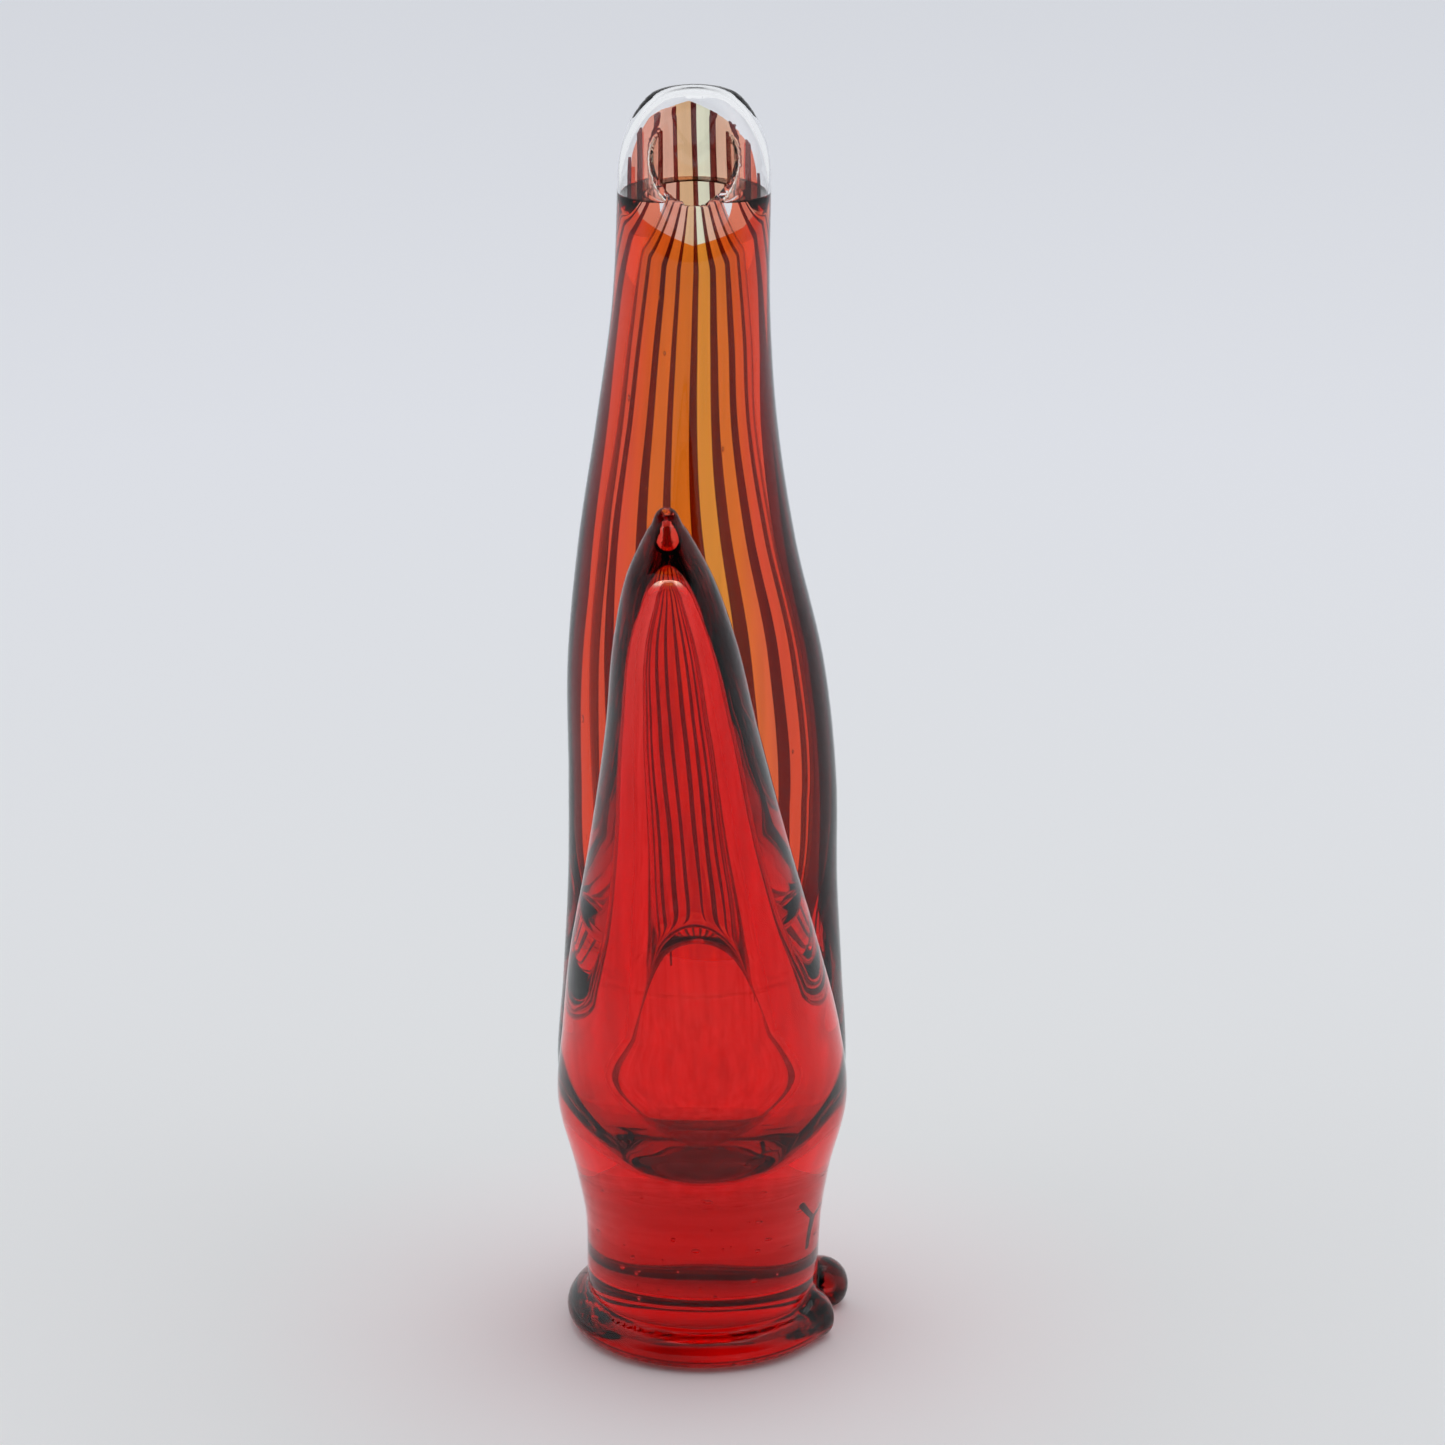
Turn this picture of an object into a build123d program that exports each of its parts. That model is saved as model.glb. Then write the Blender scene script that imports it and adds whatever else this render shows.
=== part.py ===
from build123d import *
import math
import os

# Hand-blown two-armed glass vase, millimetres, +Z up.
# The origin is the middle of the foot, on the surface that the vase stands on.
# The tall open neck rises on the +Y side, and the short closed horn leans towards -Y.
# All the glass was joined hot, so each piece meets its neighbours face to face.

os.makedirs("parts", exist_ok=True)

# ---- driving dimensions ---------------------------------------------------------

# Levels at which one gather gives way to the next
base_top = 42.0
fork_height = 105.0
horn_solid_height = 206.0
nub_height = 217.5
above_everything = 320.0

# Every form below is a smooth loft through level ovals, each given as
# height, centre x, centre y, half width, half depth

# The round base that both arms grow out of
base_sections = [
    (0.0, 0.0, 0.0, 27.2, 27.2),
    (14.0, 0.0, 0.0, 27.9, 27.9),
    (28.0, 0.2, 0.0, 28.4, 28.4),
    (base_top, 0.0, 0.0, 30.7, 31.1),
]

# The neck, from the base to just under its lip
neck_sections = [
    (base_top, 0.0, 2.6, 30.7, 28.6),
    (62.0, -0.2, 8.4, 34.8, 29.6),
    (84.0, 0.0, 15.6, 33.6, 28.6),
    (fork_height, 0.0, 22.4, 32.5, 24.2),
    (130.0, 0.0, 25.2, 32.2, 22.8),
    (160.0, -1.6, 26.2, 30.6, 21.6),
    (190.0, -3.6, 26.2, 25.8, 20.0),
    (220.0, -3.6, 25.9, 21.3, 18.8),
    (250.0, -2.5, 25.7, 18.6, 18.1),
]

# The lip, sheared on a slant and melted round: height, centre x, centre y, half width,
# half length down the slant, slant in degrees
lip_sections = [
    (266.0, -1.9, 25.6, 17.9, 19.6, 24.0),
    (276.0, -1.8, 26.0, 17.6, 22.9, 40.0),
    (282.2, -1.8, 26.3, 15.6, 21.6, 45.0),
]

# The horn, from the base to its drawn-out point
horn_sections = [
    (base_top, 0.0, -2.6, 30.5, 28.4),
    (62.0, 0.0, -8.6, 34.4, 28.6),
    (84.0, -0.3, -16.6, 32.6, 27.2),
    (fork_height, -1.5, -26.2, 29.5, 23.2),
    (133.0, -2.8, -32.2, 23.6, 19.8),
    (166.0, -4.5, -38.2, 17.4, 15.5),
    (190.0, -6.1, -42.5, 13.6, 11.5),
    (horn_solid_height, -7.2, -45.6, 9.3, 7.8),
    (nub_height, -7.6, -47.8, 4.0, 3.6),
]

# The blown bubble: one cavity, which forks with the arms and opens at the mouth
neck_bubble = [
    (45.0, 0.0, 2.0, 9.0, 9.0),
    (50.0, 0.0, 3.0, 16.0, 16.0),
    (66.0, 0.0, 8.0, 22.5, 20.5),
    (96.0, 0.0, 17.8, 24.0, 20.4),
    (110.0, 0.0, 22.8, 25.6, 17.6),
    (130.0, 0.0, 25.2, 26.4, 17.0),
    (160.0, -1.6, 26.2, 25.2, 16.4),
    (190.0, -3.6, 26.2, 20.6, 14.9),
    (220.0, -3.6, 25.9, 16.2, 13.8),
    (250.0, -2.5, 25.7, 13.6, 13.1),
]
mouth_sections = [
    (266.0, -1.9, 25.6, 11.8, 13.0, 24.0),
    (276.0, -1.8, 26.0, 9.6, 12.5, 40.0),
    (282.2, -1.8, 26.3, 9.0, 12.7, 45.0),
]
horn_bubble = [
    (45.0, 0.0, -2.0, 9.0, 9.0),
    (50.0, 0.0, -3.0, 16.0, 16.0),
    (66.0, 0.0, -9.0, 22.0, 19.8),
    (96.0, -0.8, -20.8, 18.6, 17.6),
    (112.0, -1.8, -27.4, 15.6, 13.0),
    (133.0, -3.2, -32.2, 12.5, 10.2),
    (166.0, -5.4, -38.2, 9.3, 7.4),
    (190.0, -6.9, -42.6, 6.6, 4.8),
    (203.0, -7.4, -45.2, 3.4, 2.6),
]

# Layers of the neck: clear casing outside, then the canes, then the clear lining
casing_thickness = 2.4
cane_thickness = 1.6

# The canes round the neck, from the axis they fan out from: the middle angle of each dark
# cane, in degrees from +X towards +Y, and the coloured cane that follows each of them
cane_axis = (-2.0, 26.0)
dark_cane_width = 6.0
cane_reach = 90.0
oval_points = 12
dark_cane_angles = [-2.0, 27.0, 49.0, 68.0, 86.0, 104.0, 121.0, 145.0, 172.0]
coloured_canes = [
    "ruby_cane_right",
    "coral_cane_right",
    "amber_cane_right",
    "cream_cane_back",
    "amber_cane_back",
    "coral_cane_back",
    "coral_cane_left",
    "ruby_cane_left",
    "amber_cane_front",
]

# The foot: a thread of glass wound once round the base, its two ends meeting on the right
foot_thread_circle = 27.9
foot_thread_half_width = 5.0
foot_thread_half_height = 4.6
foot_thread_level = 4.0
foot_start_angle = 18.0
foot_turn = 322.0
foot_lobe_centre = (28.6, 7.6, 5.2)
foot_lobe_radius = 6.9
foot_flare_centre = (25.2, -9.0, 5.0)
foot_flare_radius = 6.4

# The folded nub at the point of the horn
nub_centre = (-7.7, -48.1, 219.6)
nub_radius = 2.5
nub_hole_radius = 0.7


# ---- shared shapes --------------------------------------------------------------


def oval(half_width, half_depth):
    """Points evenly round an oval, counted from +X."""
    turns = [2 * math.pi * step / oval_points for step in range(oval_points)]
    return [(half_width * math.cos(turn), half_depth * math.sin(turn)) for turn in turns]


def arm(sections, inset=0.0, lip=()):
    """A smooth arm through level ovals and a slanted lip, thinner all round by the inset."""
    levels = [(Plane((x, y, height)), *half) for height, x, y, *half in sections]
    slants = [(Plane((x, y, height)).rotated((turn, 0, 0)), *half) for height, x, y, *half, turn in lip]
    with BuildPart() as shape:
        for place, half_width, half_depth in levels + slants:
            with BuildSketch(place):
                with BuildLine():
                    Spline(oval(half_width - inset, half_depth - inset), periodic=True)
                make_face()
        loft()
    return shape.part


def sector(first_angle, last_angle):
    """A wedge of space round the cane axis, from below the fork to above the lip."""
    with BuildPart() as shape:
        with BuildSketch(Plane((cane_axis[0], cane_axis[1], 0))):
            with BuildLine():
                first = Line((0, 0), Vector(cane_reach, 0).rotate(Axis.Z, first_angle))
                last = Line((0, 0), Vector(cane_reach, 0).rotate(Axis.Z, last_angle))
                middle = Vector(cane_reach, 0).rotate(Axis.Z, (first_angle + last_angle) / 2)
                ThreePointArc(first @ 1, middle, last @ 1)
            make_face()
        extrude(amount=above_everything)
    return shape.part


base_form = arm(base_sections)
neck_form = arm(neck_sections, lip=lip_sections)
horn_form = arm(horn_sections)
neck_cavity = arm(neck_bubble, lip=mouth_sections)
horn_cavity = arm(horn_bubble)
cane_outside = arm(neck_sections, casing_thickness, lip_sections)
cane_inside = arm(neck_sections, casing_thickness + cane_thickness, lip_sections)


def neck_layer(outside, inside):
    """The neck's glass between two of its surfaces, from the fork to the lip."""
    with BuildPart() as shape:
        add(outside)
        add(inside, mode=Mode.SUBTRACT)
        split(bisect_by=Plane.XY.offset(fork_height), keep=Keep.TOP)
    return shape.part


# ---- base gather: the solid ruby bottom of the vase, ground flat where it stands ---------

with BuildPart() as base_gather:
    add(base_form)

base_gather.part.label = "base_gather"
export_step(base_gather.part, "parts/base_gather.step")

# ---- body wall: the blown ruby belly, round the cavity up to the fork --------------------

with BuildPart() as horn_root:
    add(horn_form)
    split(bisect_by=Plane.XY.offset(fork_height), keep=Keep.BOTTOM)

with BuildPart() as body_wall:
    add(neck_form)
    split(bisect_by=Plane.XY.offset(fork_height), keep=Keep.BOTTOM)
    add(horn_root.part)
    add(neck_cavity, mode=Mode.SUBTRACT)
    add(horn_cavity, mode=Mode.SUBTRACT)

body_wall.part.label = "body_wall"
export_step(body_wall.part, "parts/body_wall.step")

# ---- horn wall: the front arm, pulled out of the belly, hollow almost to its end ---------

with BuildPart() as horn_wall:
    add(horn_form)
    split(bisect_by=Plane.XY.offset(fork_height), keep=Keep.TOP)
    split(bisect_by=Plane.XY.offset(horn_solid_height), keep=Keep.BOTTOM)
    add(horn_cavity, mode=Mode.SUBTRACT)

horn_wall.part.label = "horn_wall"
export_step(horn_wall.part, "parts/horn_wall.step")

# ---- horn tip: the solid point beyond the cavity -----------------------------------------

with BuildPart() as horn_tip:
    add(horn_form)
    split(bisect_by=Plane.XY.offset(horn_solid_height), keep=Keep.TOP)

horn_tip.part.label = "horn_tip"
export_step(horn_tip.part, "parts/horn_tip.step")

# ---- tip nub: the last drop, folded over where the horn was cut off ----------------------

with BuildPart() as tip_nub:
    with Locations(nub_centre):
        Sphere(nub_radius)
        Cylinder(nub_hole_radius, 4 * nub_radius, rotation=(90, 0, 0), mode=Mode.SUBTRACT)
    split(bisect_by=Plane.XY.offset(nub_height), keep=Keep.TOP)

tip_nub.part.label = "tip_nub"
export_step(tip_nub.part, "parts/tip_nub.step")

# ---- foot coil: the wound thread, with a fat end behind and a smeared end in front -------

with BuildPart() as foot_coil:
    with BuildSketch(Plane.XZ.rotated((0, 0, foot_start_angle))):
        with Locations((foot_thread_circle, foot_thread_level)):
            Ellipse(foot_thread_half_width, foot_thread_half_height)
    revolve(axis=Axis.Z, revolution_arc=foot_turn)
    with Locations(foot_lobe_centre):
        Sphere(foot_lobe_radius)
    with Locations(foot_flare_centre):
        Sphere(foot_flare_radius)
    split(bisect_by=Plane.XY, keep=Keep.TOP)
    add(base_form, mode=Mode.SUBTRACT)

foot_coil.part.label = "foot_coil"
export_step(foot_coil.part, "parts/foot_coil.step")

# ---- neck casing: the clear outer gather -------------------------------------------------

with BuildPart() as neck_casing:
    add(neck_layer(neck_form, cane_outside))

neck_casing.part.label = "neck_casing"
export_step(neck_casing.part, "parts/neck_casing.step")

# ---- neck lining: the clear first gather, with the bore through it -----------------------

with BuildPart() as neck_lining:
    add(neck_layer(cane_inside, neck_cavity))

neck_lining.part.label = "neck_lining"
export_step(neck_lining.part, "parts/neck_lining.step")

# ---- canes: dark rods with a coloured one after each, rolled up and melted into one skin --

cane_skin = neck_layer(cane_outside, cane_inside)

for number, name in enumerate(coloured_canes):
    angle = dark_cane_angles[number]
    dark_start = angle - dark_cane_width / 2
    dark_end = angle + dark_cane_width / 2
    next_angle = (dark_cane_angles + [dark_cane_angles[0] + 360.0])[number + 1]
    next_start = next_angle - dark_cane_width / 2
    with BuildPart() as dark_cane:
        add(sector(dark_start, dark_end))
        add(cane_skin, mode=Mode.INTERSECT)
    dark_cane.part.label = f"dark_cane_{number + 1}"
    export_step(dark_cane.part, f"parts/dark_cane_{number + 1}.step")
    with BuildPart() as coloured_cane:
        add(sector(dark_end, next_start))
        add(cane_skin, mode=Mode.INTERSECT)
    coloured_cane.part.label = name
    export_step(coloured_cane.part, f"parts/{name}.step")
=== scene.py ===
import bpy
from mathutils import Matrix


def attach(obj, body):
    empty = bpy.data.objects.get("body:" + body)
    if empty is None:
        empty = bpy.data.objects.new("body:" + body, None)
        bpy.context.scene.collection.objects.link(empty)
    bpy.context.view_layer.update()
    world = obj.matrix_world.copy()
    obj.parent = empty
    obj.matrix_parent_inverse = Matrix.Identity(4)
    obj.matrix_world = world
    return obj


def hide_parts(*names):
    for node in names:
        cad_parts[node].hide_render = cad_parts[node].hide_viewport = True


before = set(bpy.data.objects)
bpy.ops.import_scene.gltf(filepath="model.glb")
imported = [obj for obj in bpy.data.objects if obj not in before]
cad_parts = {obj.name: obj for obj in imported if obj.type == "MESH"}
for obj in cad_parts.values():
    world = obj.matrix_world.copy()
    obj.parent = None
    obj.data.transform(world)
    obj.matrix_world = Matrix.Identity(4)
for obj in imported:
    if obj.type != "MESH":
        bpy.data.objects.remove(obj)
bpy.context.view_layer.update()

import bpy
import math
import random
import numpy as np

# ---- the table and the light -----------------------------------------------------------
# The vase stands on a pale paper sweep in a white light tent, lit evenly from all round,
# with the darker room only on the side that it is looked at from.

scene = bpy.context.scene
scene.view_settings.view_transform = "Standard"
scene.cycles.max_bounces = 40
scene.cycles.transmission_bounces = 40
scene.cycles.glossy_bounces = 12
scene.cycles.transparent_max_bounces = 40


def new_material(name):
    """A node material with its shader and output, for one finish."""
    finish = bpy.data.materials.new(name)
    finish.use_nodes = True
    return finish, finish.node_tree.nodes, finish.node_tree.links


# Distances in metres from the vase over which the painted light in the paper's colour changes: painted pink
# glow at the vase, painted paler, cooler tone far off.
painted_glow_reach, paper_far = 0.03, 0.75


def paper_sweep():
    """Matt paper with painted light in its colour: a painted pink glow where the red glass casts its light
    onto it, and a painted paler, cooler tone further back.
    """
    finish, nodes, links = new_material("paper_sweep")
    shader = nodes["Principled BSDF"]
    shader.inputs["Roughness"].default_value = 0.95
    shader.inputs["Specular IOR Level"].default_value = 0.0
    place = nodes.new("ShaderNodeTexCoord")
    away = nodes.new("ShaderNodeVectorMath")
    away.operation = "LENGTH"
    links.new(place.outputs["Object"], away.inputs[0])
    blend = nodes.new("ShaderNodeMapRange")
    blend.inputs["From Min"].default_value = painted_glow_reach
    blend.inputs["From Max"].default_value = paper_far
    links.new(away.outputs["Value"], blend.inputs["Value"])
    fibre = nodes.new("ShaderNodeTexNoise")
    fibre.inputs["Scale"].default_value = 900.0
    fibre.inputs["Detail"].default_value = 4.0
    links.new(place.outputs["Object"], fibre.inputs["Vector"])
    # Painted light: pink glow at the vase, grey a little way out, then paler and cooler further off.
    colour = nodes.new("ShaderNodeValToRGB")
    stops = colour.color_ramp.elements
    stops[0].position, stops[0].color = 0.0, (0.96, 0.88, 0.885, 1.0)
    stops[1].position, stops[1].color = 0.12, (0.885, 0.89, 0.885, 1.0)
    stops.new(1.0).color = (0.935, 0.943, 0.975, 1.0)
    links.new(blend.outputs["Result"], colour.inputs["Fac"])
    links.new(colour.outputs["Color"], shader.inputs["Base Color"])
    bump = nodes.new("ShaderNodeBump")
    bump.inputs["Strength"].default_value = 0.05
    bump.inputs["Distance"].default_value = 0.0002
    links.new(fibre.outputs["Fac"], bump.inputs["Height"])
    links.new(bump.outputs["Normal"], shader.inputs["Normal"])
    return finish


def mesh_piece(name, points, faces, finish):
    """A smooth mesh object in the scene, from points in metres."""
    mesh = bpy.data.meshes.new(name)
    mesh.from_pydata(points, [], faces)
    mesh.shade_smooth()
    mesh.materials.append(finish)
    piece = bpy.data.objects.new(name, mesh)
    scene.collection.objects.link(piece)
    return piece


sweep_radius = 6.0
sweep_level = -0.00002
rings = [0.0005, 0.02, 0.05, 0.1, 0.2, 0.5, 1.0, 2.0, 4.0, sweep_radius]
around = 64
sweep_points = []
for radius in rings:
    for step in range(around):
        turn = 2 * math.pi * step / around
        sweep_points.append((radius * math.cos(turn), radius * math.sin(turn), sweep_level))
sweep_faces = [tuple(range(around))]
for ring in range(len(rings) - 1):
    for step in range(around):
        near, far = ring * around, (ring + 1) * around
        after = (step + 1) % around
        sweep_faces.append((near + step, far + step, far + after, near + after))
sweep = mesh_piece("paper_sweep", sweep_points, sweep_faces, paper_sweep())

world = bpy.data.worlds.new("light_tent")
world.use_nodes = True
scene.world = world
wn, wl = world.node_tree.nodes, world.node_tree.links
direction = wn.new("ShaderNodeTexCoord")
towards_room = wn.new("ShaderNodeVectorMath")
towards_room.operation = "DOT_PRODUCT"
towards_room.inputs[1].default_value = (0.0, -1.0, 0.0)
wl.new(direction.outputs["Generated"], towards_room.inputs[0])
opening = wn.new("ShaderNodeMapRange")
opening.interpolation_type = "SMOOTHSTEP"
opening.inputs["From Min"].default_value = 0.30
opening.inputs["From Max"].default_value = 0.75
wl.new(towards_room.outputs["Value"], opening.inputs["Value"])
tent_colour = wn.new("ShaderNodeMix")
tent_colour.data_type = "RGBA"
tent_colour.inputs["A"].default_value = (0.80, 0.82, 0.85, 1.0)
tent_colour.inputs["B"].default_value = (0.035, 0.035, 0.04, 1.0)
wl.new(opening.outputs["Result"], tent_colour.inputs["Factor"])
wl.new(tent_colour.outputs["Result"], wn["Background"].inputs["Color"])

lamp = bpy.data.lights.new("overhead_softbox", "AREA")
lamp.shape = "RECTANGLE"
lamp.size = 1.2
lamp.size_y = 0.9
lamp.energy = 4.0
lamp_place = bpy.data.objects.new("overhead_softbox", lamp)
lamp_place.location = (0.1, 0.1, 1.6)
scene.collection.objects.link(lamp_place)

camera_tilt = 19.74
lens = bpy.data.cameras.new("camera")
lens.lens = 146.6
lens.sensor_width = 36.0
lens.clip_start = 0.01
lens.clip_end = 50.0
camera = bpy.data.objects.new("camera", lens)
camera.location = (0.0048, -1.300, 0.620)
camera.rotation_euler = (math.radians(90.0 - camera_tilt), 0.0, 0.0)
scene.collection.objects.link(camera)
scene.camera = camera

# ---- clear skin: the outer gather of clear glass ------------------------------------------
# Clear soda glass gathered over everything else and fire-polished, so all its outside is
# one melted surface: base, foot, belly, both arms, the lip and the bubble blown inside it.

mm = 0.001

# height, centre x, centre y, half width, half depth
trunk_ovals = [
    (-8.0, 0.0, 0.0, 27.2, 27.2),
    (0.0, 0.0, 0.0, 27.2, 27.2),
    (14.0, 0.0, 0.0, 27.9, 27.9),
    (28.0, 0.2, 0.0, 28.4, 28.4),
]
neck_ovals = trunk_ovals + [
    (42.0, 0.0, 2.6, 30.7, 28.6),
    (62.0, -0.2, 8.4, 34.6, 29.6),
    (84.0, 0.0, 15.6, 33.6, 28.6),
    (105.0, 0.0, 22.4, 32.5, 24.2),
    (130.0, 0.0, 25.2, 32.2, 22.8),
    (160.0, -1.6, 26.2, 30.6, 21.6),
    (190.0, -3.6, 26.2, 25.8, 20.0),
    (220.0, -3.6, 25.9, 21.3, 18.8),
    (250.0, -2.5, 25.8, 18.4, 18.1),
    (276.0, -1.8, 26.0, 17.9, 17.9),
    (310.0, -1.8, 26.0, 17.8, 17.8),
]
horn_ovals = trunk_ovals + [
    (42.0, 0.0, -2.6, 30.5, 28.4),
    (62.0, 0.0, -8.6, 34.4, 28.6),
    (84.0, -0.3, -16.6, 32.6, 27.2),
    (105.0, -1.5, -26.2, 29.5, 23.2),
    (133.0, -2.8, -32.2, 23.6, 19.8),
    (166.0, -4.5, -38.2, 17.4, 15.5),
    (190.0, -6.1, -42.5, 13.6, 11.5),
    (206.0, -7.2, -45.6, 9.3, 7.8),
    (217.5, -7.6, -47.8, 4.0, 3.6),
]
neck_bubble_ovals = [
    (50.0, 0.0, 3.0, 21.0, 19.0),
    (66.0, 0.0, 8.0, 22.5, 20.0),
    (96.0, 0.0, 17.8, 24.0, 20.4),
    (110.0, 0.0, 22.8, 25.6, 17.6),
    (130.0, 0.0, 25.2, 26.4, 17.0),
    (160.0, -1.6, 26.2, 25.2, 16.4),
    (190.0, -3.6, 26.2, 20.6, 14.9),
    (220.0, -3.6, 25.9, 16.2, 13.8),
    (240.0, -2.8, 25.8, 14.4, 13.3),
    (256.0, -2.3, 25.8, 12.8, 12.6),
    (268.0, -1.9, 26.0, 11.2, 11.3),
    (280.0, -1.8, 26.0, 9.6, 9.8),
    (290.0, -1.8, 26.0, 9.1, 9.1),
    (310.0, -1.8, 26.0, 9.0, 9.0),
]
horn_bubble_ovals = [
    (50.0, 0.0, -3.0, 21.0, 19.0),
    (66.0, 0.0, -9.0, 22.0, 19.5),
    (96.0, -0.8, -20.8, 18.6, 17.6),
    (112.0, -1.8, -27.4, 15.6, 13.0),
    (133.0, -3.2, -32.2, 12.5, 10.2),
    (166.0, -5.4, -38.2, 9.3, 7.4),
    (190.0, -6.9, -42.6, 6.6, 4.8),
    (203.0, -7.4, -45.2, 3.4, 2.6),
]


def along(ovals, height):
    """Centre and half sizes of an arm at each height, on a smooth curve through its ovals."""
    table = np.array(ovals, float)
    levels, values = table[:, 0], table[:, 1:]
    slopes = np.gradient(values, levels, axis=0)
    height = np.clip(height, levels[0], levels[-1])
    lower = np.clip(np.searchsorted(levels, height) - 1, 0, len(levels) - 2)
    gap = levels[lower + 1] - levels[lower]
    part = ((height - levels[lower]) / gap)[..., None]
    gap = gap[..., None]
    below, above = values[lower], values[lower + 1]
    return (
        below * (2 * part**3 - 3 * part**2 + 1)
        + above * (3 * part**2 - 2 * part**3)
        + slopes[lower] * gap * (part**3 - 2 * part**2 + part)
        + slopes[lower + 1] * gap * (part**3 - part**2)
    )


def tube(ovals, p):
    """How far each point is outside an arm's side, negative inside it."""
    centre_x, centre_y, wide, deep = np.moveaxis(along(ovals, p[..., 2]), -1, 0)
    x, y = p[..., 0] - centre_x, p[..., 1] - centre_y
    reach = np.sqrt((x / wide) ** 2 + (y / deep) ** 2) + 1e-6
    slope = np.sqrt((x / wide**2) ** 2 + (y / deep**2) ** 2) + 1e-6
    return (reach - 1.0) * reach / slope


def melt(a, b, radius):
    """Two solids joined with a melted fillet."""
    radius = np.maximum(radius, 1e-4)
    near = np.maximum(radius - np.abs(a - b), 0.0) / radius
    return np.minimum(a, b) - near * near * radius * 0.25


def trim(a, b, radius):
    """What two solids share, with the edge fire-polished."""
    return -melt(-a, -b, radius)


def ease(low, high, value):
    """A smooth step from 0 to 1."""
    part = np.clip((value - low) / (high - low), 0.0, 1.0)
    return part * part * (3 - 2 * part)


lip_slant = math.radians(42.5)
lip_point = (26.0, 285.6)


def above_lip(p):
    """How far a point is above the slanted cut of the mouth."""
    back, up = p[..., 1] - lip_point[0], p[..., 2] - lip_point[1]
    return up * math.cos(lip_slant) - back * math.sin(lip_slant)


def ball(p, centre, radius, squash=(1.0, 1.0, 1.0)):
    """A round lump of glass."""
    away = (p - np.array(centre)) / np.array(squash)
    return (np.sqrt((away**2).sum(-1)) - radius) * min(squash)


thread_circle, thread_level, thread_wide, thread_tall = 27.9, 4.2, 5.0, 4.3
thread_start, thread_end = 18.0, 340.0


def foot_thread(p):
    """The wound thread round the foot, with its fat end and its smeared end."""
    turn = np.degrees(np.arctan2(p[..., 1], p[..., 0]))
    turn = np.where(turn < 0, turn + 360, turn)
    circle = np.sqrt(p[..., 0] ** 2 + p[..., 1] ** 2)
    out, up = (circle - thread_circle) / thread_wide, (p[..., 2] - thread_level) / thread_tall
    ring = (np.sqrt(out**2 + up**2) + 1e-6 - 1.0) * thread_tall
    beyond = np.minimum(np.abs(turn - thread_start), np.abs(turn - 360.0 - thread_start))
    in_gap = (turn > thread_end) | (turn < thread_start)
    ends = np.where(in_gap, np.minimum(np.abs(turn - thread_end), beyond), 0.0)
    ring = ring + np.radians(ends) * 24.0
    lobe = ball(p, (28.6, 7.6, 5.2), 6.9)
    flare = ball(p, (25.2, -9.0, 5.0), 6.4)
    return melt(melt(ring, lobe, 2.0), flare, 3.0)


nub_centre, nub_loop, nub_thickness = (-7.7, -48.1, 219.3), 1.5, 1.15


def nub(p):
    """The last drop folded over at the point of the horn."""
    across, back, up = (p[..., axis] - nub_centre[axis] for axis in range(3))
    circle = np.sqrt(across**2 + up**2)
    return np.sqrt((circle - nub_loop) ** 2 + back**2) - nub_thickness


top_of_lip, top_of_horn = 297.3, 219.5
belly_centre, belly_radius, belly_shape = (0.2, -2.0, 71.0), 22.6, (1.06, 1.2, 1.16)


def outside(p):
    """How far a point is outside the whole vase, its bubble not counted."""
    height = p[..., 2]
    fillet = 2.5 * ease(50.0, 80.0, height) + 4.0 * ease(92.0, 104.0, height)
    neck = trim(tube(neck_ovals, p), above_lip(p), 6.0)
    neck = trim(neck, height - top_of_lip, 2.6)
    horn = trim(tube(horn_ovals, p), height - top_of_horn, 4.0)
    body = melt(neck, horn, fillet)
    body = melt(body, nub(p), 1.4)
    body = melt(body, foot_thread(p), 1.6)
    return trim(body, -height, 2.0)


def bubble(p):
    """How far a point is outside the blown bubble."""
    height = p[..., 2]
    neck = trim(tube(neck_bubble_ovals, p), 66.0 - height, 12.0)
    horn = trim(tube(horn_bubble_ovals, p), 66.0 - height, 12.0)
    horn = trim(horn, height - 205.0, 5.0)
    arms = melt(neck, horn, 2.5)
    return melt(arms, ball(p, belly_centre, belly_radius, belly_shape), 10.0)


def glass(p):
    """The vase's glass: its outside less the bubble, the mouth's edge melted round."""
    return trim(outside(p), -bubble(p), 1.6 * ease(240.0, 256.0, p[..., 2]) + 0.01)


def steepness(solid, p, reach=0.05):
    """Which way, and how fast, a solid's distance grows at each point."""
    parts = []
    for axis in range(3):
        shift = np.zeros(3)
        shift[axis] = reach
        parts.append((solid(p + shift) - solid(p - shift)) / (2 * reach))
    return np.stack(parts, -1)


def onto(solid, p, limit, rounds=4):
    """Points moved onto a solid's surface."""
    for _ in range(rounds):
        slope = steepness(solid, p)
        size = (slope**2).sum(-1) + 1e-9
        move = -(solid(p) / size)[:, None] * slope
        length = np.sqrt((move**2).sum(-1)) + 1e-9
        p = p + move * np.minimum(1.0, limit / length)[:, None]
    return p


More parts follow.
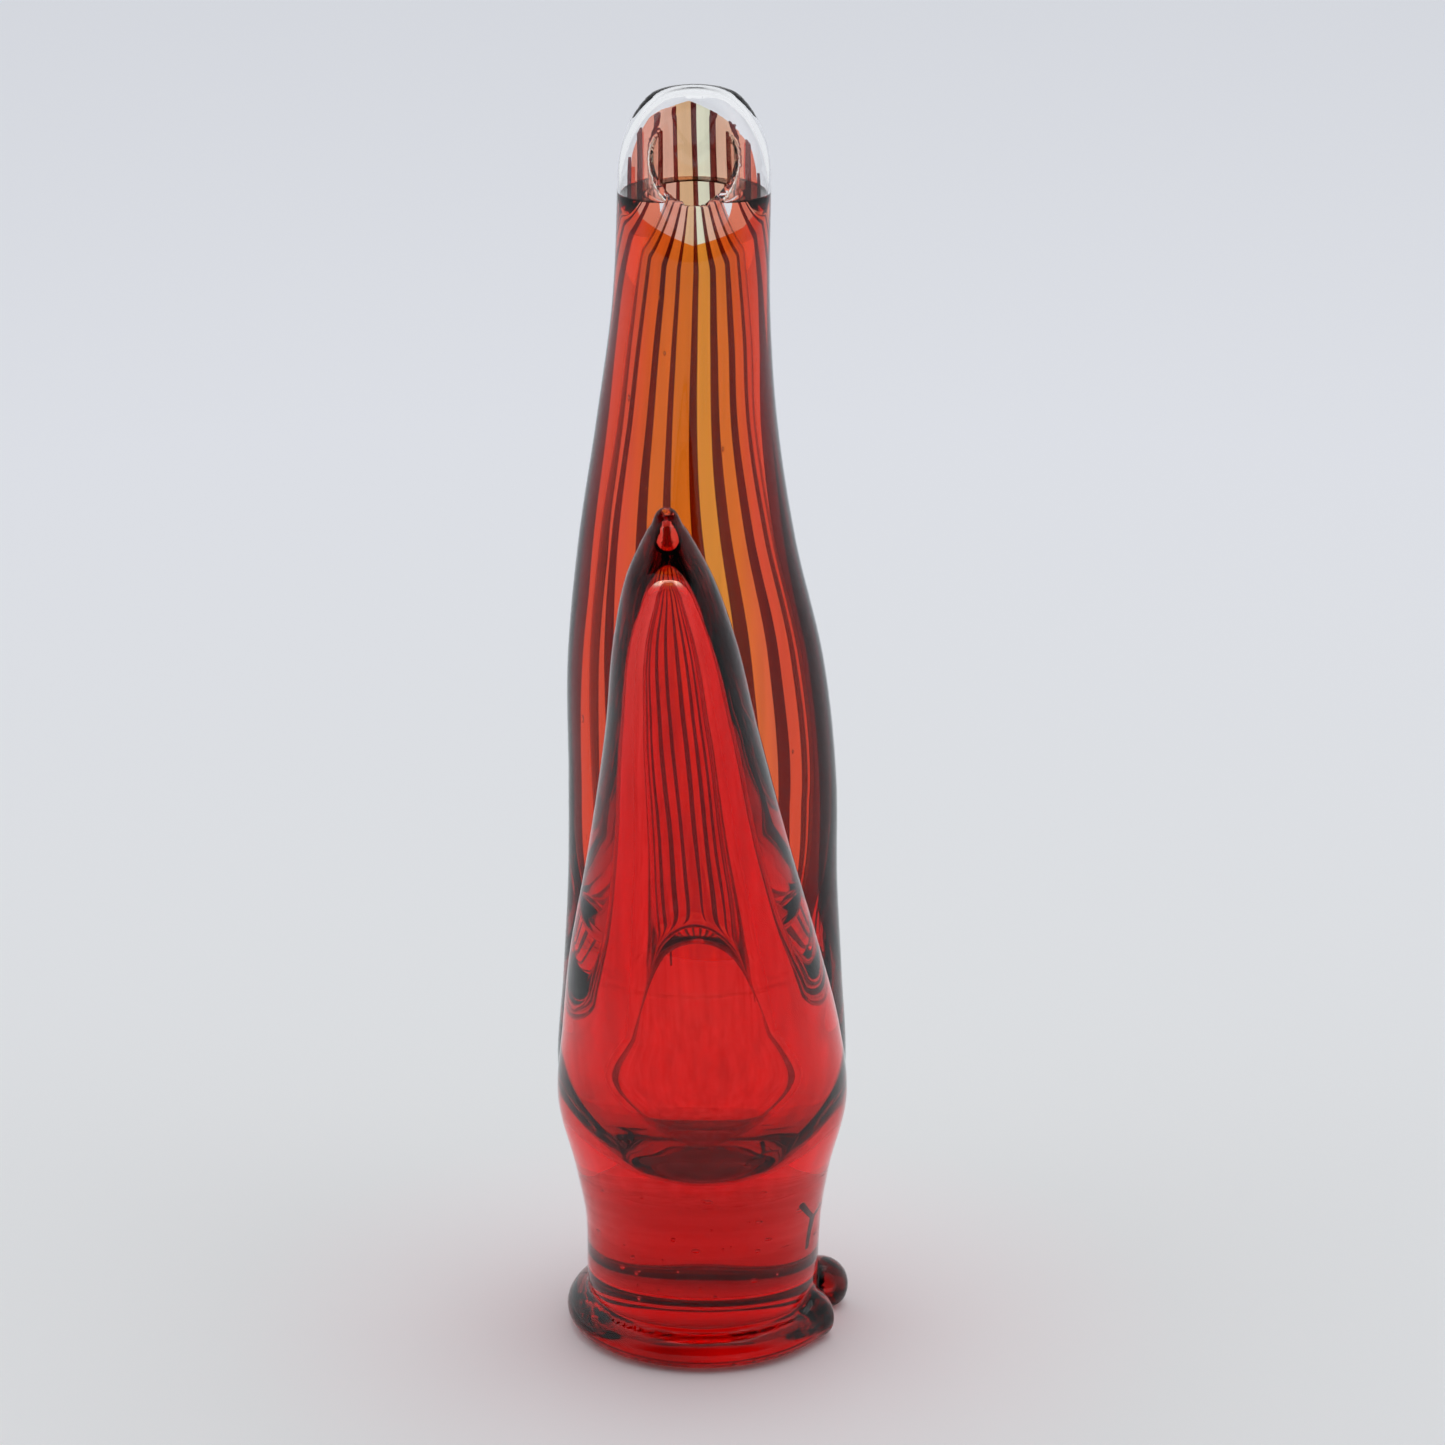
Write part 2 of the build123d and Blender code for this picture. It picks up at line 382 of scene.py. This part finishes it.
def skin(solid, low, high, step):
    """A mesh of quads over a solid's surface, its corners evened out along the surface."""
    axes = [np.arange(low[n], high[n] + step, step) for n in range(3)]
    grid = np.stack(np.meshgrid(*axes, indexing="ij"), -1)
    value = np.empty(grid.shape[:3], np.float32)
    for slab in range(0, grid.shape[0], 16):
        value[slab : slab + 16] = solid(grid[slab : slab + 16])
    inside = value < 0
    shape = np.array(value.shape) - 1
    corners = [(i, j, k) for i in (0, 1) for j in (0, 1) for k in (0, 1)]

    def cut(array, corner):
        return array[tuple(slice(c, c + n) for c, n in zip(corner, shape))]

    count = sum(cut(inside, corner).astype(np.int8) for corner in corners)
    cells = np.argwhere((count > 0) & (count < 8))
    number = np.full(tuple(shape), -1, np.int64)
    number[tuple(cells.T)] = np.arange(len(cells))
    total = np.zeros((len(cells), 3))
    hits = np.zeros(len(cells))
    for first in corners:
        for axis in range(3):
            if first[axis]:
                continue
            second = tuple(c + (1 if n == axis else 0) for n, c in enumerate(first))
            one = value[tuple((cells + first).T)]
            two = value[tuple((cells + second).T)]
            crossed = (one < 0) != (two < 0)
            share = np.where(crossed, one / np.where(crossed, one - two, 1.0), 0.0)
            spot = cells + np.array(first) + share[:, None] * np.eye(3)[axis]
            total += spot * crossed[:, None]
            hits += crossed
    points = np.array(low) + (total / hits[:, None]) * step
    quads = []
    for axis in range(3):
        one_way, other_way = [n for n in range(3) if n != axis]
        ends = [slice(None)] * 3
        starts = [slice(None)] * 3
        ends[axis] = slice(1, None)
        starts[axis] = slice(None, -1)
        here, there = inside[tuple(starts)], inside[tuple(ends)]
        edges = np.argwhere(here != there)
        good = (edges[:, one_way] > 0) & (edges[:, other_way] > 0)
        good &= (edges[:, one_way] < shape[one_way]) & (edges[:, other_way] < shape[other_way])
        edges = edges[good]
        step_one, step_two = np.eye(3, dtype=int)[one_way], np.eye(3, dtype=int)[other_way]
        ring = [edges - step_one - step_two, edges - step_two, edges, edges - step_one]
        quad = np.stack([number[tuple(corner.T)] for corner in ring], -1)
        turned = here[tuple(edges.T)]
        if axis == 1:
            turned = ~turned
        quad[~turned] = quad[~turned][:, ::-1]
        quads.append(quad)
    quads = np.concatenate(quads)
    points = onto(solid, points, step)
    for _ in range(3):
        total = np.zeros_like(points)
        hits = np.zeros(len(points))
        for side in range(4):
            one, two = quads[:, side], quads[:, (side + 1) % 4]
            for axis in range(3):
                total[:, axis] += np.bincount(one, points[two, axis], len(points))
                total[:, axis] += np.bincount(two, points[one, axis], len(points))
            hits += np.bincount(one, minlength=len(points)) + np.bincount(two, minlength=len(points))
        points = onto(solid, 0.5 * points + 0.5 * total / hits[:, None], step, 2)
    return points, quads


def glass_piece(name, solid, low, high, step, finish, inward=False):
    """A solid of glass as a mesh object, with smooth normals from its true surface."""
    points, quads = skin(solid, low, high, step)
    normals = steepness(solid, points)
    normals /= np.sqrt((normals**2).sum(-1))[:, None] + 1e-9
    if inward:
        quads, normals = quads[:, ::-1], -normals
    piece = mesh_piece(name, (points * mm).tolist(), quads.tolist(), finish)
    piece.data.normals_split_custom_set_from_vertices(normals.tolist())
    return piece


def waves(nodes, links, shader, size, depth):
    """Faint waves in the polished surface, left by the tools and the heat."""
    place = nodes.new("ShaderNodeTexCoord")
    stretch = nodes.new("ShaderNodeMapping")
    stretch.inputs["Scale"].default_value = (1.0, 1.0, 0.35)
    links.new(place.outputs["Object"], stretch.inputs["Vector"])
    noise = nodes.new("ShaderNodeTexNoise")
    noise.inputs["Scale"].default_value = 1.0 / size
    noise.inputs["Detail"].default_value = 1.0
    links.new(stretch.outputs["Vector"], noise.inputs["Vector"])
    bump = nodes.new("ShaderNodeBump")
    bump.inputs["Strength"].default_value = 1.0
    bump.inputs["Distance"].default_value = depth
    links.new(noise.outputs["Fac"], bump.inputs["Height"])
    links.new(bump.outputs["Normal"], shader.inputs["Normal"])
    return place


def clear_glass():
    """Clear polished glass, with half the head-on reflection, so that pale paper in front
    of the vase doesn't whiten the ruby."""
    finish, nodes, links = new_material("clear_glass")
    shader = nodes["Principled BSDF"]
    shader.inputs["Base Color"].default_value = (1.0, 1.0, 1.0, 1.0)
    shader.inputs["Transmission Weight"].default_value = 1.0
    shader.inputs["IOR"].default_value = 1.5
    shader.inputs["Specular Tint"].default_value = (0.5, 0.5, 0.5, 1.0)
    shader.inputs["Roughness"].default_value = 0.0
    waves(nodes, links, shader, 0.012, 0.00006)
    return finish


fine = 1.35
clear = clear_glass()
vase_low, vase_high = (-37.0, -57.0, -3.0), (38.5, 50.0, 301.0)
clear_skin = glass_piece("clear_skin", glass, vase_low, vase_high, fine, clear)
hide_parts("neck_casing", "neck_lining")
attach(clear_skin, "root")

# ---- lip hollow: the thin clear dome round the mouth -----------------------------------------
# The rim is clear, with no colour in it, and shows only as a hairline. Here it is made as a
# thin skin round a ring of air. Whether a real rim is hollow like this is not known.

lip_shoulder = 274.5
lip_skin_thickness = 0.9


def lip_hollow(p):
    """The ring of air in the rim."""
    room = trim(outside(p), -bubble(p), 1.0) + lip_skin_thickness
    return trim(room, lip_shoulder - p[..., 2], 0.8)


lip_low, lip_high = (-22.0, 5.0, 270.0), (18.0, 47.0, 300.0)
ring = glass_piece("lip_hollow", lip_hollow, lip_low, lip_high, 0.8, clear, inward=True)
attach(ring, "root")

# ---- ruby gathers: the coloured glass under the skin ---------------------------------------
# Ruby glass, gathered first and blown: solid in the base and the foot thread, a wall round
# the belly and up the horn, with faint cords where it was twisted. It bends no light here,
# because the clear skin round it does that.


def tinted_glass(name, passed, density, cord_shade, cord_size=0.004, cord_run=(1.0, 1.0, 0.06)):
    """Coloured glass that takes up light by its thickness, with faint streaks in it."""
    finish, nodes, links = new_material(name)
    shader = nodes["Principled BSDF"]
    shader.inputs["Transmission Weight"].default_value = 1.0
    shader.inputs["IOR"].default_value = 1.0
    shader.inputs["Roughness"].default_value = 0.0
    shader.inputs["Specular IOR Level"].default_value = 0.0
    place = nodes.new("ShaderNodeTexCoord")
    stretch = nodes.new("ShaderNodeMapping")
    stretch.inputs["Scale"].default_value = cord_run
    links.new(place.outputs["Object"], stretch.inputs["Vector"])
    cords = nodes.new("ShaderNodeTexNoise")
    cords.inputs["Scale"].default_value = 1.0 / cord_size
    cords.inputs["Detail"].default_value = 3.0
    links.new(stretch.outputs["Vector"], cords.inputs["Vector"])
    ramp = nodes.new("ShaderNodeValToRGB")
    ramp.color_ramp.elements[0].position = 0.35
    ramp.color_ramp.elements[0].color = (*cord_shade, 1.0)
    ramp.color_ramp.elements[1].position = 0.62
    ramp.color_ramp.elements[1].color = (1.0, 1.0, 1.0, 1.0)
    links.new(cords.outputs["Fac"], ramp.inputs["Fac"])
    links.new(ramp.outputs["Color"], shader.inputs["Base Color"])
    body = nodes.new("ShaderNodeVolumeAbsorption")
    body.inputs["Color"].default_value = (*passed, 1.0)
    body.inputs["Density"].default_value = density
    links.new(body.outputs["Volume"], nodes["Material Output"].inputs["Volume"])
    return finish


level_cords = (0.22, 0.22, 1.5)
deep_ruby = tinted_glass("deep_ruby_glass", (0.970, 0.03, 0.0), 300.0, (0.80, 0.6, 0.6), 0.009, level_cords)
foot_ruby = tinted_glass("foot_ruby_glass", (0.93, 0.03, 0.0), 300.0, (0.45, 0.3, 0.3), 0.006, level_cords)
blown_ruby = tinted_glass("blown_ruby_glass", (0.991, 0.06, 0.0), 300.0, (0.84, 0.72, 0.68))
ruby_depth, lining = 1.3, 0.35
base_side = 29.2
base_top, fork_height, point_start = 42.0, 103.0, 204.0


def ruby_mass(p):
    """All the ruby glass, just under the clear skin and just outside the bubble."""
    return trim(outside(p) + ruby_depth, lining - bubble(p), 0.3)


def ruby_base(p):
    """The solid base."""
    inner = trim(ruby_mass(p), p[..., 2] - base_top, 0.3)
    return trim(inner, np.sqrt(p[..., 0] ** 2 + p[..., 1] ** 2) - base_side, 0.3)


def ruby_foot(p):
    """The thread round the foot, clear of the surface that it stands on."""
    side = base_side + 0.05 - np.sqrt(p[..., 0] ** 2 + p[..., 1] ** 2)
    thread = trim(foot_thread(p) + 0.9, side, 0.3)
    return trim(thread, 0.7 - p[..., 2], 0.3)


def ruby_belly(p):
    """The belly, up to the fork behind and to the root of the horn in front."""
    height = p[..., 2]
    ragged = fork_height + 6.0 * ease(0, 30, p[..., 1]) * np.sin(p[..., 0] * 0.21 + 1.0)
    return trim(trim(ruby_mass(p), height - ragged, 1.0), base_top + 0.06 - height, 0.1)


def ruby_horn(p):
    """The horn's wall."""
    height = p[..., 2]
    horn = trim(tube(horn_ovals, p) + ruby_depth, lining - bubble(p), 0.3)
    return trim(trim(horn, height - point_start, 0.3), fork_height + 0.2 - height, 0.1)


gather_step = 1.6
for name, node, solid, top, ruby in (
    ("ruby_base_glass", "base_gather", ruby_base, base_top + 3, deep_ruby),
    ("ruby_foot_glass", "foot_coil", ruby_foot, 16.0, foot_ruby),
    ("ruby_belly_glass", "body_wall", ruby_belly, 114.0, blown_ruby),
    ("ruby_horn_glass", "horn_wall", ruby_horn, 210.0, blown_ruby),
):
    gather = glass_piece(name, solid, vase_low, (38.5, 50.0, top), gather_step, ruby)
    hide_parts(node)
    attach(gather, "root")

# ---- horn point: the end of the horn beyond the bubble --------------------------------------
# Where the horn was pulled off, the ruby runs out to a thin amber-pink thread in clear
# glass, and the last drop is folded over into a tiny loop.

amber_pink = tinted_glass("amber_pink_glass", (0.99, 0.45, 0.25), 110.0, (0.99, 0.9, 0.85))


def horn_point(p):
    """The thin colour left in the solid end of the horn."""
    height = p[..., 2]
    inner = tube(horn_ovals, p) + 1.6
    return trim(trim(inner, height - 216.0, 2.0), point_start + 0.1 - height, 0.1)


def nub_colour(p):
    """The trace of colour in the folded drop."""
    return nub(p) + 0.55


point = glass_piece("horn_point_glass", horn_point, (-24, -60, 200), (10, -34, 220), 1.0, amber_pink)
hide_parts("horn_tip")
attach(point, "root")
drop = glass_piece("tip_nub_glass", nub_colour, (-12, -51, 215), (-3, -45, 224), 0.3, amber_pink)
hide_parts("tip_nub")
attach(drop, "root")

# ---- canes: the striped colour rolled up round the neck ---------------------------------------
# Dark rods with broad bands of coral, red, amber, tan and cream between them, rolled up on
# the first gather and drawn out with the neck, so they run its whole length and thin upwards.

dark_cane_angles = [-2.0, 27.0, 49.0, 68.0, 86.0, 104.0, 121.0, 145.0, 172.0]
# how wide each dark cane has melted, in degrees: at its foot, half way up and at the lip
dark_cane_sizes = [
    (40.0, 34.0, 8.0),
    (9.0, 8.0, 6.5),
    (9.0, 8.0, 6.5),
    (8.0, 7.5, 6.0),
    (7.0, 6.5, 5.0),
    (5.0, 5.0, 3.6),
    (8.0, 7.0, 5.5),
    (9.0, 8.0, 6.0),
    (12.0, 38.0, 9.0),
]
coloured_canes = [
    ("ruby_cane_right", "ruby_glass", (0.88, 0.20, 0.12)),
    ("coral_cane_right", "ruby_glass", (0.92, 0.34, 0.22)),
    ("amber_cane_right", "amber_glass", (0.95, 0.56, 0.38)),
    ("cream_cane_back", "cream_glass", (0.96, 0.93, 0.68)),
    ("amber_cane_back", "amber_glass", (0.92, 0.56, 0.30)),
    ("coral_cane_back", "ruby_glass", (0.95, 0.50, 0.36)),
    ("coral_cane_left", "ruby_glass", (0.94, 0.36, 0.25)),
    ("ruby_cane_left", "ruby_glass", (0.92, 0.34, 0.24)),
    ("amber_cane_front", "amber_glass", (0.95, 0.34, 0.05)),
]
casing_depth = 2.4
dark_thickness, band_start, band_thickness = 0.6, 3.15, 0.9
cane_drift = 5.0


def round_neck(nodes, links, place):
    """How far round the neck a point is from its front, in half turns."""
    apart = nodes.new("ShaderNodeSeparateXYZ")
    links.new(place.outputs["Object"], apart.inputs["Vector"])
    side = nodes.new("ShaderNodeMath")
    side.operation = "ADD"
    side.inputs[1].default_value = 0.002
    links.new(apart.outputs["X"], side.inputs[0])
    front = nodes.new("ShaderNodeMath")
    front.operation = "SUBTRACT"
    front.inputs[0].default_value = 0.026
    links.new(apart.outputs["Y"], front.inputs[1])
    turn = nodes.new("ShaderNodeMath")
    turn.operation = "ARCTAN2"
    links.new(side.outputs["Value"], turn.inputs[0])
    links.new(front.outputs["Value"], turn.inputs[1])
    share = nodes.new("ShaderNodeMapRange")
    share.inputs["From Min"].default_value = -math.pi / 2
    share.inputs["From Max"].default_value = math.pi / 2
    links.new(turn.outputs["Value"], share.inputs["Value"])
    return share


def streaked_glass(name, shade, streak, size=0.0024, sides=None):
    """A melted band of colour, streaked along its length."""
    finish, nodes, links = new_material(name)
    shader = nodes["Principled BSDF"]
    shader.inputs["Transmission Weight"].default_value = 1.0
    shader.inputs["IOR"].default_value = 1.0
    shader.inputs["Roughness"].default_value = 0.0
    shader.inputs["Specular IOR Level"].default_value = 0.0
    place = nodes.new("ShaderNodeTexCoord")
    stretch = nodes.new("ShaderNodeMapping")
    stretch.inputs["Scale"].default_value = (1.0, 1.0, 0.03)
    links.new(place.outputs["Object"], stretch.inputs["Vector"])
    streaks = nodes.new("ShaderNodeTexNoise")
    streaks.inputs["Scale"].default_value = 1.0 / size
    streaks.inputs["Detail"].default_value = 2.0
    links.new(stretch.outputs["Vector"], streaks.inputs["Vector"])
    ramp = nodes.new("ShaderNodeValToRGB")
    ramp.color_ramp.elements[0].position = 0.36
    ramp.color_ramp.elements[0].color = (*streak, 1.0)
    ramp.color_ramp.elements[1].position = 0.58
    ramp.color_ramp.elements[1].color = (*shade, 1.0)
    links.new(streaks.outputs["Fac"], ramp.inputs["Fac"])
    if sides is None:
        links.new(ramp.outputs["Color"], shader.inputs["Base Color"])
        return finish
    share = round_neck(nodes, links, place)
    spread = nodes.new("ShaderNodeValToRGB")
    stops = spread.color_ramp.elements
    stops[0].position, stops[0].color = 0.20, (1.0, 1.0, 1.0, 1.0)
    stops[1].position, stops[1].color = 0.30, (0.0, 0.0, 0.0, 1.0)
    for position, value in ((0.70, 0.0), (0.80, 1.0)):
        stop = stops.new(position)
        stop.color = (value, value, value, 1.0)
    links.new(share.outputs["Result"], spread.inputs["Fac"])
    blend = nodes.new("ShaderNodeMix")
    blend.data_type = "RGBA"
    links.new(spread.outputs["Color"], blend.inputs["Factor"])
    links.new(ramp.outputs["Color"], blend.inputs["A"])
    blend.inputs["B"].default_value = (*sides, 1.0)
    links.new(blend.outputs["Result"], shader.inputs["Base Color"])
    return finish


def colour_end(turn, gap):
    """The height at which the colour stops short of the lip, higher at the back."""
    around = (np.degrees(turn) + 90.0) % 360.0 - 90.0
    turns = [-90, -40, -18, 0, 10, 22, 46, 64, 95, 136, 172, 186, 215, 270]
    heights = [266, 269, 272, 276, 280, 283.5, 287, 289.5, 293.5, 290.5, 283, 277, 271, 266]
    return np.interp(around, turns, heights) - gap


def band(name, angles, bottom, gap, depths, finish, sizes=(1.0, 1.0, 1.0), pointed=0.0):
    """A closed strip of glass round the neck, between two angles and two depths."""
    first, last = angles
    across = max(8, int((last - first) / 2.5))
    tall = 110
    share = np.linspace(0.0, 1.0, across + 1)
    rise = np.linspace(0.0, 1.0, tall + 1)
    share, rise = np.meshgrid(share, rise, indexing="ij")
    middle, half = (first + last) / 2, (last - first) / 2
    thin = np.interp(rise, [0.05, 0.5, 0.92], sizes)
    thin = thin * (1.0 - pointed * (1.0 - ease(0.0, 0.09, rise)))
    lean = cane_drift * (ease(0.80, 1.0, rise) - (1.0 - rise) ** 2)
    turn = np.radians(middle + (share * 2 - 1) * half * thin + lean)
    top = colour_end(turn, gap)
    height = bottom + rise * (top - bottom)
    centre_x, centre_y, wide, deep = np.moveaxis(along(neck_ovals, height), -1, 0)
    sides = []
    for depth in depths:
        x = centre_x + (wide - depth) * np.cos(turn)
        y = centre_y + (deep - depth) * np.sin(turn)
        sides.append(np.stack([x, y, height], -1).reshape(-1, 3))
    points = np.concatenate(sides) * mm
    row = tall + 1
    back = (across + 1) * row
    faces = []
    for i in range(across):
        for j in range(tall):
            a, b = i * row + j, (i + 1) * row + j
            faces.append((a, b, b + 1, a + 1))
            faces.append((back + a, back + a + 1, back + b + 1, back + b))
    for j in range(tall):
        faces.append((j, j + 1, back + j + 1, back + j))
        a = across * row + j
        faces.append((a, back + a, back + a + 1, a + 1))
    for i in range(across):
        a, b = i * row, (i + 1) * row
        faces.append((a, back + a, back + b, b))
        a, b = a + tall, b + tall
        faces.append((a, b, back + b, back + a))
    return mesh_piece(name, points.tolist(), faces, finish)


seam = 0.15
random.seed(7)
for number, (name, slot, shade) in enumerate(coloured_canes):
    angle = dark_cane_angles[number]
    next_angle = (dark_cane_angles + [dark_cane_angles[0] + 360.0])[number + 1]
    darker = tuple(value * 0.93 for value in shade)
    sides = (0.95, 0.25, 0.14) if name == "amber_cane_front" else None
    finish = streaked_glass(name + "_glass", shade, darker, sides=sides)
    bottom = 100.0 + random.uniform(-4, 4)
    depths = (band_start, band_start + band_thickness)
    piece = band(name + "_glass", (angle + seam, next_angle - seam), bottom, 0.3, depths, finish)
    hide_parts(name)
    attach(piece, "root")

dark = streaked_glass("dark_cane_glass", (0.20, 0.045, 0.055), (0.13, 0.03, 0.035))
for number, angle in enumerate(dark_cane_angles):
    name = "dark_cane_%d" % (number + 1)
    bottom = 88.0 + random.uniform(-10, 8)
    gap = random.uniform(0, 0.9)
    depths = (casing_depth, casing_depth + dark_thickness)
    sizes = dark_cane_sizes[number]
    piece = band(name + "_glass", (angle - 0.5, angle + 0.5), bottom, gap, depths, dark, sizes, 0.8)
    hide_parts(name)
    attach(piece, "root")

# ---- seeds and a fold: the small flaws left in the glass ----------------------------------------
# Seeds are pinhead bubbles of air caught between gathers, drawn long where the glass was
# pulled. The fold is a dark forked crease, where the ruby closed over itself in the base.


def seed_bubbles(name, places):
    """Many small drops of air as one mesh, each given as centre, width and length in mm."""
    points, faces = [], []
    rows, sides = 6, 8
    for x, y, z, wide, long in places:
        start = len(points)
        points.append((x, y, z + long))
        for row in range(1, rows):
            down = math.pi * row / rows
            for side in range(sides):
                turn = 2 * math.pi * side / sides
                out = wide * math.sin(down)
                level = z + long * math.cos(down)
                points.append((x + out * math.cos(turn), y + out * math.sin(turn), level))
        points.append((x, y, z - long))
        last = len(points) - 1
        for side in range(sides):
            after = (side + 1) % sides
            faces.append((start, start + 1 + after, start + 1 + side))
            for row in range(rows - 2):
                here = start + 1 + row * sides
                below = here + sides
                faces.append((here + side, here + after, below + after, below + side))
            bottom = start + 1 + (rows - 2) * sides
            faces.append((last, bottom + side, bottom + after))
    return mesh_piece(name, [tuple(value * mm for value in point) for point in points], faces, clear)


random.seed(21)
seeds = []
while len(seeds) < 46:
    turn, out = random.uniform(0, 2 * math.pi), 25.5 * math.sqrt(random.random())
    size = random.choice((0.28, 0.34, 0.42, 0.55))
    seeds.append((out * math.cos(turn), out * math.sin(turn), random.uniform(14, 41), size, size * 1.2))
for step in range(34):
    height, turn = random.uniform(112, 262), random.uniform(0, 2 * math.pi)
    middle_x, middle_y, wide, deep = along(neck_ovals, np.array(height))
    size = random.choice((0.18, 0.22, 0.28))
    place = (middle_x + (wide - 1.2) * math.cos(turn), middle_y + (deep - 1.2) * math.sin(turn), height)
    seeds.append((float(place[0]), float(place[1]), height, size, size * random.uniform(1.5, 4)))
air = seed_bubbles("seed_bubbles", seeds)
air.data.flip_normals()
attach(air, "root")

crease_circle = 27.0
crease_runs = [
    ((22.2, 37.5), (25.0, 31.6)),
    ((25.0, 31.6), (27.4, 33.4)),
    ((25.0, 31.6), (24.2, 24.0)),
]


def crease(p):
    """The three thin branches of the fold, just under the skin at the right of the base."""
    front = -np.sqrt(crease_circle**2 - np.clip(p[..., 0], 0, crease_circle - 0.1) ** 2)
    nearest = np.full(p.shape[:-1], 1e3)
    for (x1, z1), (x2, z2) in crease_runs:
        run_x, run_z = x2 - x1, z2 - z1
        part = ((p[..., 0] - x1) * run_x + (p[..., 2] - z1) * run_z) / (run_x**2 + run_z**2)
        part = np.clip(part, 0.0, 1.0)
        off_x, off_z = p[..., 0] - x1 - part * run_x, p[..., 2] - z1 - part * run_z
        away = np.sqrt(off_x**2 + off_z**2 + ((p[..., 1] - front) * 0.6) ** 2)
        nearest = np.minimum(nearest, away - 0.55 + 0.2 * part)
    return nearest


crease_dark = streaked_glass("crease_glass", (0.10, 0.01, 0.02), (0.05, 0.005, 0.01))
fold = glass_piece("base_fold", crease, (20, -22, 21), (29.5, 1, 40), 0.2, crease_dark)
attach(fold, "root")
